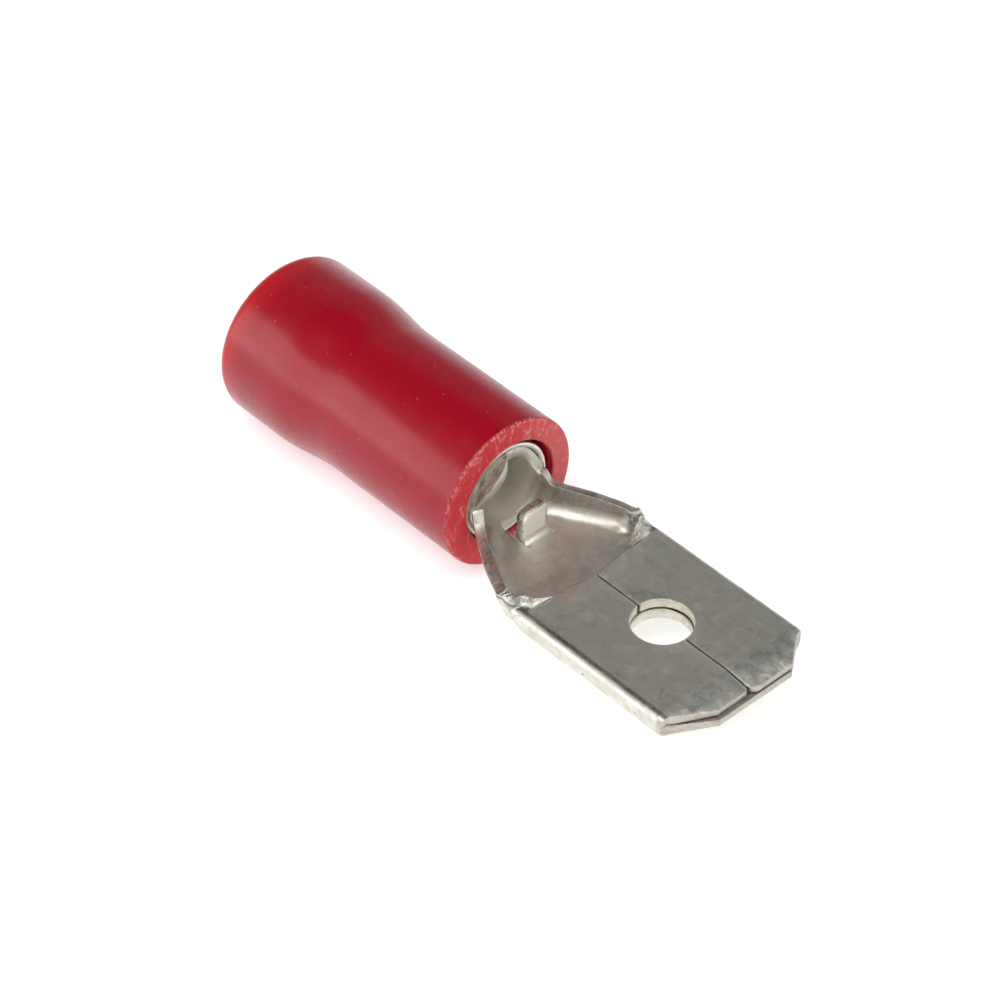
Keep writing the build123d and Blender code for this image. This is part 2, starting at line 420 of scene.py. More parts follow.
def choose_edges(obj, wanted):
    """Selects the edges of the mesh being edited for which wanted(edge) is true."""
    mesh = bmesh.from_edit_mesh(obj.data)
    for edge in mesh.edges:
        edge.select_set(False)
    for edge in mesh.edges:
        if wanted(edge):
            edge.select_set(True)
    mesh.select_flush_mode()
    bmesh.update_edit_mesh(obj.data)


def arc(centre_x, centre_r, radius, start, end, steps=4):
    """Rings on a round rim; angles in degrees, 0 to the front and 90 outwards."""
    rings = []
    for step in range(steps + 1):
        turn = math.radians(start + (end - start) * step / steps)
        rings.append((centre_x + radius * math.cos(turn), centre_r + radius * math.sin(turn)))
    return rings


def neck(front_r, rear_r, steps):
    """Rings of a smooth neck, from its front to its rear."""
    rings = []
    for step in range(steps + 1):
        share = step / steps
        eased = share * share * (3 - 2 * share)
        x = NECK_FRONT + (NECK_REAR - NECK_FRONT) * share
        rings.append((x, front_r + (rear_r - front_r) * eased))
    return rings


def ring_piece(name, rings, segments):
    """Closed turned piece: a circle, extruded and sized from one ring to the next."""
    first_x, first_r = rings[0]
    deselect_all()
    bpy.ops.mesh.primitive_circle_add(
        vertices=segments,
        radius=first_r * MM,
        location=(first_x * MM, 0, AXIS_Z),
        rotation=(0, math.radians(90), 0),
    )
    piece = bpy.context.object
    piece.name = name
    piece.data.name = name
    bpy.ops.object.transform_apply(location=True, rotation=True, scale=True)
    bpy.ops.object.mode_set(mode="EDIT")
    bpy.ops.mesh.select_all(action="SELECT")
    last_x, last_r = first_x, first_r
    for x, r in rings[1:] + rings[:1]:
        onward = {"value": ((x - last_x) * MM, 0, 0)}
        bpy.ops.mesh.extrude_edges_move(TRANSFORM_OT_translate=onward)
        grown = r / last_r
        bpy.ops.transform.resize(value=(1, grown, grown), center_override=(x * MM, 0, AXIS_Z))
        last_x, last_r = x, r
    bpy.ops.mesh.select_all(action="SELECT")
    bpy.ops.mesh.remove_doubles(threshold=RING_MERGE * MM)
    bpy.ops.mesh.normals_make_consistent(inside=False)
    bpy.ops.object.mode_set(mode="OBJECT")
    bpy.ops.object.shade_smooth_by_angle(angle=math.radians(RING_SHARP_FROM))
    return piece


# Strip


def between(values, spot):
    """Smooth value at a spot from 0 to the last index, through all the values."""
    index = min(int(spot), len(values) - 2)
    share = spot - index
    low, high = values[index], values[index + 1]
    before = values[index - 1] if index > 0 else low
    after = values[index + 2] if index + 2 < len(values) else high
    slope_low = (high - before) / 2
    slope_high = (after - low) / 2
    two, three = share * share, share * share * share
    return (
        (2 * three - 3 * two + 1) * low
        + (three - 2 * two + share) * slope_low
        + (3 * two - 2 * three) * high
        + (three - two) * slope_high
    )


def trough_values(share):
    """Floor, bend, angle and leg of the trough, from the barrel to the blade's shoulder."""
    rolled = math.exp(-((share * TROUGH_LENGTH / ROLL_SETTLING) ** 2))
    raised = math.exp(-share * TROUGH_LENGTH / EDGE_SETTLING)
    bend = TROUGH_BEND + (BARREL_BORE - TROUGH_BEND) * rolled
    angle = WALL_ANGLE + (NOTCH_ANGLE - WALL_ANGLE) * rolled
    outer = bend + SHEET
    turn = math.radians(angle)
    open_height = WALL_AT_BARREL + (WALL_HEIGHT - WALL_AT_BARREL) * share
    height = open_height + (NOTCH_Z - open_height) * raised
    leg = max((height - outer * (1 - math.cos(turn))) / math.sin(turn), 0.0)
    spread = share * (1 + FLARE_BOW * (1 - share))
    edge_y = BARREL_RADIUS + (HALF_WIDTH - SHOULDER_INSET - BARREL_RADIUS) * spread
    floor = max(edge_y - outer * math.sin(turn) - leg * math.cos(turn), 0.0)
    return floor, bend, angle, leg


def fold_values(share):
    """Floor, bend, angle and leg in the fold, where the walls lie over to become the flaps."""
    steps = [trough_values(1.0)] + FOLD_STEPS
    spot = share * (len(steps) - 1)
    return tuple(between(column, spot) for column in zip(*steps))


def strip_values(x):
    """Floor, bend, angle and leg of the strip at x."""
    if x <= BARREL_FRONT:
        return 0.0, BARREL_BORE, NOTCH_ANGLE, 0.0
    if x < SHOULDER:
        return trough_values((x - BARREL_FRONT) / TROUGH_LENGTH)
    if x < FLAP_REAR:
        return fold_values((x - SHOULDER) / (FLAP_REAR - SHOULDER))
    return FOLD_STEPS[-1]


def half_section(x):
    """Middle of the sheet across the right half of the strip at x, as places along Y and Z."""
    floor, bend, angle, leg = strip_values(x)
    middle = bend + SHEET / 2
    outer = bend + SHEET
    points = [(floor * step / FLOOR_STEPS, SHEET / 2) for step in range(FLOOR_STEPS)]
    for step in range(BEND_STEPS + 1):
        turn = math.radians(angle * step / BEND_STEPS)
        points.append((floor + middle * math.sin(turn), outer - middle * math.cos(turn)))
    turn = math.radians(angle)
    end_y, end_z = points[-1]
    for step in range(1, LEG_STEPS + 1):
        far = leg * step / LEG_STEPS
        points.append((end_y + far * math.cos(turn), end_z + far * math.sin(turn)))
    return points


def strip_rows():
    """Places along X of the strip's cross rows: barrel, trough, fold and blade."""
    rows = [BARREL_REAR + (BARREL_FRONT - BARREL_REAR) * share for share in BARREL_SHARES]
    for step in range(1, TROUGH_ROWS):
        rows.append(BARREL_FRONT + TROUGH_LENGTH * (step / TROUGH_ROWS) ** TROUGH_CROWDING)
    for step in range(FOLD_ROWS):
        rows.append(SHOULDER + (FLAP_REAR - SHOULDER) * step / FOLD_ROWS)
    return rows + BLADE_ROWS


def shaped_grid(name, rows, columns, shape):
    """Flat grid whose points are moved to shape(row, column), in millimetres."""
    deselect_all()
    bpy.ops.mesh.primitive_grid_add(x_subdivisions=rows, y_subdivisions=columns, size=2.0)
    grid = bpy.context.object
    grid.name = name
    for vertex in grid.data.vertices:
        row = round((vertex.co.x + 1) / 2 * rows)
        column = round((vertex.co.y + 1) / 2 * columns)
        vertex.co = Vector(shape(row, column)) * MM
    return grid


def lobe_front(angle, lobe):
    """Place along X of the barrel's front edge at an angle, on a curve through a lobe's reaches."""
    total = BARREL_FRONT
    for here, reach in zip(LOBE_ANGLES, (0.0, *lobe)):
        weight = 1.0
        for there in LOBE_ANGLES:
            if there != here:
                weight *= (angle - there) / (here - there)
        total += weight * reach
    return total


def join_pieces(name, pieces):
    """Joins pieces into one and merges the points that they share."""
    deselect_all()
    for piece in pieces:
        piece.select_set(True)
    bpy.context.view_layer.objects.active = pieces[0]
    bpy.ops.object.join()
    whole = bpy.context.object
    whole.name = name
    bpy.ops.object.mode_set(mode="EDIT")
    bpy.ops.mesh.select_all(action="SELECT")
    bpy.ops.mesh.remove_doubles(threshold=GRID_MERGE * MM)
    bpy.ops.mesh.normals_make_consistent(inside=False)
    bpy.ops.object.mode_set(mode="OBJECT")
    return whole


def choose_faces(piece, wanted):
    """Selects the faces of the mesh being edited whose middle, in millimetres, is wanted."""
    mesh = bmesh.from_edit_mesh(piece.data)
    for face in mesh.faces:
        face.select_set(False)
    for face in mesh.faces:
        face.select_set(wanted(face.calc_center_median() / MM))
    mesh.select_flush_mode()
    bmesh.update_edit_mesh(piece.data)


def trim(piece, wanted, point, outward):
    """Cuts off what lies outwards of a plane, on the faces that are wanted."""
    choose_faces(piece, wanted)
    bpy.ops.mesh.bisect(
        plane_co=Vector(point) * MM,
        plane_no=Vector(outward).normalized(),
        clear_outer=True,
        threshold=0.0001 * MM,
    )


def round_corner(piece, wanted, x, side, inward, radius):
    """Rounds a flap's corner at the seam with a few straight trims."""
    centre = Vector((x + inward * radius, side * (SEAM_GAP / 2 + radius), 0))
    for angle in (18, 36, 54, 72):
        turn = math.radians(angle)
        outward = Vector((-inward * math.cos(turn), -side * math.sin(turn), 0))
        trim(piece, wanted, centre + outward * radius, outward)


def use_modifier(piece, kind, name, **settings):
    """Adds a modifier with its settings and applies it."""
    take_up(piece)
    modifier = piece.modifiers.new(name, kind)
    for key, value in settings.items():
        setattr(modifier, key, value)
    bpy.ops.object.modifier_apply(modifier=name)


def wear(piece, finishes, index):
    """Gives a piece its finishes, and all of its faces the one at an index."""
    for finish in finishes:
        piece.data.materials.append(finish)
    for face in piece.data.polygons:
        face.material_index = index


def cut_with(piece, cutter, operation="DIFFERENCE"):
    """Cuts or joins with another closed piece, which is used up."""
    if operation == "DIFFERENCE":
        wear(cutter, piece.data.materials[:], 1)
    settings = {"object": cutter, "operation": operation, "solver": "EXACT"}
    before = len(piece.data.vertices)
    use_modifier(piece, "BOOLEAN", "cut", **settings)
    bpy.data.objects.remove(cutter)
    if len(piece.data.vertices) < before * KEPT_SHARE:
        raise RuntimeError(f"{piece.name} was lost in a cut")


def drill(x, y, low, high, radius):
    """Round cutter from a low to a high place, in millimetres."""
    deselect_all()
    bpy.ops.mesh.primitive_cylinder_add(
        vertices=96,
        radius=radius * MM,
        depth=(high - low) * MM,
        location=(x * MM, y * MM, (low + high) / 2 * MM),
    )
    bpy.ops.object.transform_apply(location=True, rotation=True, scale=True)
    return bpy.context.object


def window_cutter():
    """Cutter for the window in the floor, with two rounded rear corners."""
    deselect_all()
    rear = STOP_FRONT - SHEET - WINDOW_LENGTH
    front = STOP_FRONT + STOP_BEND
    middle_z, height = 0.2, 1.6
    middle = ((rear + front) / 2 * MM, STOP_SIDE * MM, middle_z * MM)
    bpy.ops.mesh.primitive_cube_add(size=1.0, location=middle)
    cutter = bpy.context.object
    cutter.scale = ((front - rear) * MM, STOP_WIDTH * MM, height * MM)
    bpy.ops.object.transform_apply(location=True, rotation=True, scale=True)
    bpy.ops.object.mode_set(mode="EDIT")
    limit = (rear + 0.01) * MM
    choose_edges(
        cutter,
        lambda edge: all(v.co.x < limit for v in edge.verts)
        and abs(edge.verts[0].co.z - edge.verts[1].co.z) > MM,
    )
    bpy.ops.mesh.bevel(offset=WINDOW_ROUND * MM, segments=8)
    bpy.ops.object.mode_set(mode="OBJECT")
    return cutter


def wire_stop(finishes):
    """Tongue bent up out of the floor: a plane, spun through the bend and extruded upright."""
    deselect_all()
    start = STOP_FRONT + STOP_BEND
    middle = ((start + STOP_LAP / 2) * MM, STOP_SIDE * MM, SHEET / 2 * MM)
    bpy.ops.mesh.primitive_plane_add(size=1.0, location=middle)
    tongue = bpy.context.object
    tongue.scale = (STOP_LAP * MM, STOP_WIDTH * MM, 1.0)
    bpy.ops.object.transform_apply(location=True, rotation=True, scale=True)
    bpy.ops.object.mode_set(mode="EDIT")
    limit = (start + 0.01) * MM
    choose_edges(tongue, lambda edge: all(v.co.x < limit for v in edge.verts))
    bpy.ops.mesh.spin(
        steps=10,
        angle=math.radians(90),
        center=(start * MM, 0, (SHEET + STOP_BEND) * MM),
        axis=(0, -1, 0),
    )
    low = SHEET + STOP_BEND
    for height in STOP_ROWS:
        rise = {"value": (0, 0, (height - low) * MM)}
        bpy.ops.mesh.extrude_region_move(TRANSFORM_OT_translate=rise)
        low = height
    top = (STOP_HEIGHT - 0.01) * MM
    for side, radius, segments in STOP_CORNERS:
        mesh = bmesh.from_edit_mesh(tongue.data)
        for vertex in mesh.verts:
            on_side = (vertex.co.y / MM - STOP_SIDE) * side > 0.1
            vertex.select_set(vertex.co.z > top and on_side)
        mesh.select_flush_mode()
        bmesh.update_edit_mesh(tongue.data)
        bpy.ops.mesh.bevel(offset=radius * MM, segments=segments, affect="VERTICES")
    bpy.ops.object.mode_set(mode="OBJECT")
    wear(tongue, finishes, 0)
    thicken(tongue)
    return tongue


def soften_stop(strip):
    """Rounds the tongue's sheared edges, more than the strip's other edges are."""
    take_up(strip)
    bpy.ops.object.mode_set(mode="EDIT")
    margin = 0.02
    foot = SHEET + STOP_BEND / 2

    def on_tongue(vertex):
        x, y, z = vertex.co / MM
        return (
            STOP_FRONT - SHEET - margin < x < STOP_FRONT + 0.1
            and abs(y - STOP_SIDE) < STOP_WIDTH / 2 + margin
            and z > foot
        )

    choose_edges(
        strip,
        lambda edge: all(on_tongue(v) for v in edge.verts)
        and edge.calc_face_angle(0.0) > math.radians(STOP_ROUNDED_FROM),
    )
    bpy.ops.mesh.bevel(offset=STOP_ROUND * MM, segments=3)
    bpy.ops.object.mode_set(mode="OBJECT")


def thicken(piece):
    """Gives a middle surface the strip's thickness, with sheared edges in their own finish."""
    sheet = {"thickness": SHEET * MM, "offset": 0.0, "material_offset_rim": 1}
    use_modifier(piece, "SOLIDIFY", "sheet", **sheet)


def folded_sheet():
    """Middle surface of the whole strip: floor and walls, the barrel's upper half, the flaps."""
    rows = strip_rows()
    sections = [half_section(x) for x in rows]
    reach = len(sections[0]) - 1

    def body(row, column):
        side = column - reach
        y, z = sections[row][abs(side)]
        return rows[row], math.copysign(y, side), z

    pieces = [shaped_grid("strip_body", len(rows) - 1, 2 * reach, body)]
    middle = BARREL_BORE + SHEET / 2
    last_angle = 180 - math.degrees(math.asin(SEAM_GAP / 2 / middle))
    flap_rows = [x for x in rows if x >= FLAP_REAR]
    flap_z = FLAP_UNDER + SHEET / 2
    flap_start = sections[-1][-1][0]
    for side, lobe in ((1, RIGHT_LOBE), (-1, LEFT_LOBE)):

        def roof(row, column, side=side, lobe=lobe):
            angle = NOTCH_ANGLE + (last_angle - NOTCH_ANGLE) * column / ROOF_COLUMNS
            turn = math.radians(angle)
            front = lobe_front(angle, lobe)
            x = BARREL_REAR + (front - BARREL_REAR) * BARREL_SHARES[row]
            return x, side * middle * math.sin(turn), AXIS - middle * math.cos(turn)

        def flap(row, column, side=side):
            y = flap_start + (SEAM_GAP / 2 - flap_start) * column / FLAP_COLUMNS
            return flap_rows[row], side * y, flap_z

        pieces.append(shaped_grid("strip_roof", len(BARREL_SHARES) - 1, ROOF_COLUMNS, roof))
        pieces.append(shaped_grid("strip_flap", len(flap_rows) - 1, FLAP_COLUMNS, flap))
    return join_pieces("folded_strip", pieces)


def trim_blade(strip):
    """Cuts the tip's corners, sets the flaps back, and notches and rounds their ends."""
    take_up(strip)
    bpy.ops.object.mode_set(mode="EDIT")
    for side, length, width, above in TIP_CUTS:
        point = (TIP - length, side * HALF_WIDTH, 0)
        outward = (width, side * length, 0)
        trim(strip, lambda c: c.x > 0 and c.z > above and c.y * side > 0, point, outward)
    for side, setback, radius in FLAP_ENDS:

        def on_flap(c, side=side):
            return c.x > FLAP_REAR and c.z > SPLIT and c.y * side > 0

        trim(strip, on_flap, (TIP - setback, 0, 0), (1, 0, 0))
        round_corner(strip, on_flap, TIP - setback, side, -1, radius)
        notch = (-FREE_EDGE, side * -FLAP_NOTCH, 0)

        def on_free_edge(c, side=side):
            return on_flap(c, side) and abs(c.y) < FREE_EDGE

        trim(strip, on_free_edge, (FLAP_REAR + FLAP_NOTCH, 0, 0), notch)
        round_corner(strip, on_flap, FLAP_REAR + FLAP_NOTCH, side, 1, FLAP_ROUND)
    bpy.ops.object.mode_set(mode="OBJECT")


def climb(value, start, end):
    """Share that goes from 0 at a start to 1 at an end, and stays there."""
    return min(max((value - start) / (end - start), 0.0), 1.0)


def press_lead_in(strip):
    """Tapers both faces of the tip, and leaves the slit between the layers as it is."""
    for vertex in strip.data.vertices:
        x, z = vertex.co.x / MM, vertex.co.z / MM
        if x > LEAD_IN:
            share = (x - LEAD_IN) / (TIP - LEAD_IN)
            if z < SHEET:
                rise = LEAD_IN_RISE * share
                vertex.co.z = (rise + z * (SHEET - rise) / SHEET) * MM
            elif z > FLAP_UNDER:
                drop = LEAD_IN_DROP * share
                vertex.co.z = (z - drop * (z - FLAP_UNDER) / SHEET) * MM


def square_folds(strip):
    """Presses the outside of the blade's folds squarer than a half circle."""
    centre_y = FOLD_STEPS[-1][0]
    start = FLAP_REAR - SQUARING_RUN
    for vertex in strip.data.vertices:
        x, y, z = vertex.co / MM
        out, up = abs(y) - centre_y, z - SPLIT
        far = math.hypot(out, up)
        if x > start and out > 0 and far > FOLD_INSIDE:
            squarer = far / (out**3 + abs(up) ** 3) ** (1 / 3) - 1
            grown = 1 + squarer * climb(x, start, FLAP_REAR)
            vertex.co.y = math.copysign(centre_y + out * grown, y) * MM
            vertex.co.z = (SPLIT + up * grown) * MM


def crumple(strip):
    """Uneven hand of the press: small swells in the folds, the trough and the barrel's lip."""
    noise.seed_set(SWELL_SEED)
    for vertex in strip.data.vertices:
        place = vertex.co / MM
        trough = climb(place.x, FLAP_REAR - 0.02, FLAP_REAR - 0.32)
        trough *= climb(place.x, BARREL_FRONT - 0.88, BARREL_FRONT - 0.08)
        fold = trough * climb(abs(place.y), 2.0, 2.5)
        fold *= climb(place.x, SHOULDER - 0.5, SHOULDER - 0.1)
        broad = noise.noise_vector(place * BROAD_WAVES + Vector(BROAD_PLACE))
        close = noise.noise_vector(place * CLOSE_WAVES + Vector(CLOSE_PLACE))
        move = broad * BROAD_SWELL * trough + close * (CLOSE_SWELL * trough + FOLD_SWELL * fold)
        vertex.co += move * MM


# Node work


class Shade:
    """A shader socket that can be used in plain arithmetic."""

    def __init__(self, finish, socket):
        self.finish = finish
        self.socket = socket

    def maths(self, operation, *values):
        """Adds a Math node with an operation on some values."""
        return self.finish.node("ShaderNodeMath", {"operation": operation}, values)

    def __add__(self, other):
        return self.maths("ADD", self, other)

    def __radd__(self, other):
        return self.maths("ADD", other, self)

    def __sub__(self, other):
        return self.maths("SUBTRACT", self, other)

    def __rsub__(self, other):
        return self.maths("SUBTRACT", other, self)

    def __mul__(self, other):
        return self.maths("MULTIPLY", self, other)

    def __rmul__(self, other):
        return self.maths("MULTIPLY", other, self)

    def absolute(self):
        """This value without its sign."""
        return self.maths("ABSOLUTE", self)

    def root(self):
        """Square root of this value."""
        return self.maths("SQRT", self)

    def larger(self, *others):
        """Largest of this value and the others."""
        largest = self
        for other in others:
            largest = self.maths("MAXIMUM", largest, other)
        return largest

    def clamped(self):
        """This value, kept from 0 to 1."""
        return self.finish.node("ShaderNodeClamp", {}, {"Value": self}, "Result")

    def ramp(self, start, end):
        """Smooth step from 0 at the start to 1 at the end."""
        settings = {"interpolation_type": "SMOOTHSTEP"}
        values = {"Value": self, "From Min": start, "From Max": end}
        return self.finish.node("ShaderNodeMapRange", settings, values, "Result")

    def fall(self, start, end):
        """Smooth step from 1 at the start to 0 at the end."""
        return 1 - self.ramp(start, end)

    def band(self, start, full, past, end):
        """Smooth band: 0 up to the start, 1 from full to past, and 0 from the end on."""
        return self.ramp(start, full) * self.fall(past, end)


class Finish:
    """A material, or the world, and the calls that make its nodes."""

    def __init__(self, owner):
        self.owner = owner
        self.owner.use_nodes = True
        self.tree = self.owner.node_tree
        self.tree.nodes.clear()

    def node(self, kind, settings=None, values=(), output=0):
        """Adds a node: its settings first, then its sockets' values or links.

        Returns the output that is asked for, or a list for a tuple of outputs.
        """
        made = self.tree.nodes.new(kind)
        for key, setting in (settings or {}).items():
            setattr(made, key, setting)
        pairs = values.items() if isinstance(values, dict) else enumerate(values)
        for key, value in pairs:
            socket = made.inputs[key]
            if isinstance(value, Shade):
                self.tree.links.new(value.socket, socket)
            else:
                socket.default_value = value
        if isinstance(output, tuple):
            return [Shade(self, made.outputs[name]) for name in output]
        return Shade(self, made.outputs[output]) if made.outputs else None

    def place(self, scale=(1, 1, 1), offset=(0, 0, 0)):
        """Object coordinates in millimetres, scaled and moved."""
        coords = self.node("ShaderNodeTexCoord", output="Object")
        grown = tuple(part / MM for part in scale)
        values = {"Vector": coords, "Scale": grown, "Location": offset}
        return self.node("ShaderNodeMapping", {}, values, "Vector")

    def axes(self, vector):
        """X, Y and Z of a vector."""
        return self.node("ShaderNodeSeparateXYZ", {}, [vector], ("X", "Y", "Z"))

    def noise(self, place, scale, detail=3.0, roughness=0.55, distortion=0.0):
        """Cloudy pattern, in waves per millimetre."""
        values = {
            "Vector": place,
            "Scale": scale,
            "Detail": detail,
            "Roughness": roughness,
            "Distortion": distortion,
        }
        return self.node("ShaderNodeTexNoise", {}, values, "Fac")

    def mix(self, share, first, second):
        """Colour from first to second by a share."""
        first, second = (
            part if isinstance(part, Shade) else opaque(part) for part in (first, second)
        )
        values = {0: share, 6: first, 7: second}
        return self.node("ShaderNodeMix", {"data_type": "RGBA"}, values, 2)

    def layers(self, base, *coats):
        """Colour of a base under coats, each a share and a colour, the lowest first."""
        for share, colour in coats:
            base = self.mix(share, base, colour)
        return base

    def bump(self, height, strength, distance):
        """Normal of a relief, with its distance in millimetres."""
        values = {"Strength": strength, "Distance": distance * MM, "Height": height}
        return self.node("ShaderNodeBump", {}, values, "Normal")

    def surface(self, **sockets):
        """Principled shader with the given sockets, and the output behind it."""
        values = {key.replace("_", " "): value for key, value in sockets.items()}
        shader = self.node("ShaderNodeBsdfPrincipled", {}, values, "BSDF")
        self.node("ShaderNodeOutputMaterial", {}, {"Surface": shader})


def opaque(colour):
    """Colour with full opacity."""
    return (*colour, 1.0)


# Finishes


def off_axis(y, z):
    """Distance from the axis of the barrel, the tube and the sleeve."""
    return (y * y + (z - AXIS) * (z - AXIS)).root()


def edge_wear_and_sheen(finish, radius):
    """Mask of the sheared and rounded edges: 1 where the surface turns within a radius."""
    values = {"Radius": radius * MM}
    rounded = finish.node("ShaderNodeBevel", {"samples": 8}, values, "Normal")
    plain = finish.node("ShaderNodeNewGeometry", output="Normal")
    settings = {"operation": "DOT_PRODUCT"}
    alike = finish.node("ShaderNodeVectorMath", settings, [rounded, plain], "Value")
    return (1 - alike).ramp(0.01, 0.12)


def crumples(finish):
    """Pattern of the press's crumples in the folds, the same on faces and on edges."""
    place = finish.place(scale=(1.6, 0.8, 1.0), offset=(0.8, 2.2, 0))
    return finish.noise(place, 3.4, 3.0, 0.6, 0.9)


def crease_with_dark_reflection(finish, place, cloud):
    """Broken line where the flaps turn down into the folds, plainest on the left: a slight crease
    in the relief, and a painted dark reflection in the colour.
    """
    x, y, z = finish.axes(place)
    off_line = (y.absolute() - (HALF_WIDTH - 0.26)).absolute()
    line = x.ramp(SHOULDER + 0.07, SHOULDER + 0.47) * z.ramp(FLAP_TOP - 0.12, FLAP_TOP - 0.06)
    line = line * off_line.fall(0.035, 0.1) * (1 - y.ramp(-0.2, 0.2) * 0.75)
    flecks = finish.noise(place, 8.0, 3.0, 0.65).ramp(0.4, 0.55)
    return line * (0.5 + 0.25 * cloud + 0.25 * flecks)


def fold_crease_shade(x, z, side):
    """Painted shade: a dark line along the outside of each fold, where the wall starts to lie over.
    """
    off_line = (z + x * 0.1 - 0.46).absolute()
    line = x.band(SHOULDER - 0.13, SHOULDER + 0.07, FLAP_REAR - 0.1, FLAP_REAR + 0.05)
    return line * side.ramp(2.6, 2.7) * off_line.fall(0.02, 0.07)


def rear_edge_shadow(x, z, side, cloud):
    """Painted shadow line along the flaps' free rear edge, with its notch at the seam."""
    edge = (side * (-FLAP_NOTCH / FREE_EDGE) + FLAP_NOTCH).larger(0.0) + FLAP_REAR
    line = (x - edge).fall(0.03, 0.075) * x.ramp(FLAP_REAR - 0.2, FLAP_REAR - 0.05)
    line = line * z.ramp(FLAP_TOP - 0.2, FLAP_TOP - 0.1) * side.fall(2.2, 2.5)
    return line * (0.4 + 0.35 * cloud)


def flap_places(x, z, side):
    """Blade, slit between its layers, which gets painted shade, seam between its flaps, and the
    bands beside the seam, which get a painted highlight.
    """
    blade = x.ramp(FLAP_REAR - 0.1, FLAP_REAR + 0.05)
    slit = z.band(SHEET - 0.01, SHEET + 0.003, FLAP_UNDER - 0.003, FLAP_UNDER + 0.01)
    on_flaps = blade * z.ramp(FLAP_UNDER, FLAP_UNDER + 0.03)
    seam = on_flaps * side.fall(0.03, 0.07)
    beside_seam = on_flaps * side.band(0.04, 0.06, 0.085, 0.12)
    return blade, slit * blade * side.fall(2.5, 2.6), seam, beside_seam


def fold_places(x, z, side):
    """Pinched rear end of the folds, and the outside of them all along."""
    near_blade = x.fall(FLAP_REAR - 0.2, FLAP_REAR)
    pinch = x.ramp(SHOULDER - 0.03, SHOULDER + 0.17) * near_blade
    outside = side.ramp(HALF_WIDTH - 0.25, HALF_WIDTH - 0.17)
    fold = outside.larger(side.ramp(2.3, 2.5) * near_blade)
    fold = x.ramp(SHOULDER - 0.13, SHOULDER + 0.17) * fold
    return pinch * side.ramp(2.0, 2.4) * z.ramp(0.45, 0.65), fold


def trough_places(x, z):
    """Hollow of the trough, and the inside of its walls."""
    hollow = x.ramp(SHOULDER + 0.37, SHOULDER - 0.23) * z.fall(1.5, 2.6)
    wall = x.ramp(SHOULDER + 0.17, SHOULDER - 0.13) * z.ramp(0.5, 0.85)
    return hollow, wall * x.ramp(BARREL_FRONT - 0.18, BARREL_FRONT + 0.22)


def barrel_places(x, y, z):
    """Inside of the barrel, and the outside of its lobes, which the tube has rubbed."""
    around = off_axis(y, z)
    bore = x.ramp(BARREL_FRONT + 0.22, BARREL_FRONT - 0.38)
    bore = bore * around.fall(BARREL_BORE + 0.03, BARREL_BORE + 0.09)
    lip = x.band(BARREL_FRONT - 0.18, BARREL_FRONT - 0.08, BARREL_FRONT + 0.62, BARREL_FRONT + 0.82)
    lip = lip * around.ramp(BARREL_RADIUS - 0.14, BARREL_RADIUS - 0.07) * z.ramp(1.7, 1.95)
    return bore, lip


def stop_face(x, y, z):
    """Front face of the wire stop, above its bend, which gets painted light."""
    face = x.band(STOP_FRONT - 0.06, STOP_FRONT - 0.03, STOP_FRONT + 0.02, STOP_FRONT + 0.05)
    return face * z.ramp(SHEET + 0.15, SHEET + 0.3) * (y - STOP_SIDE - 0.08).fall(0.3, 0.5)


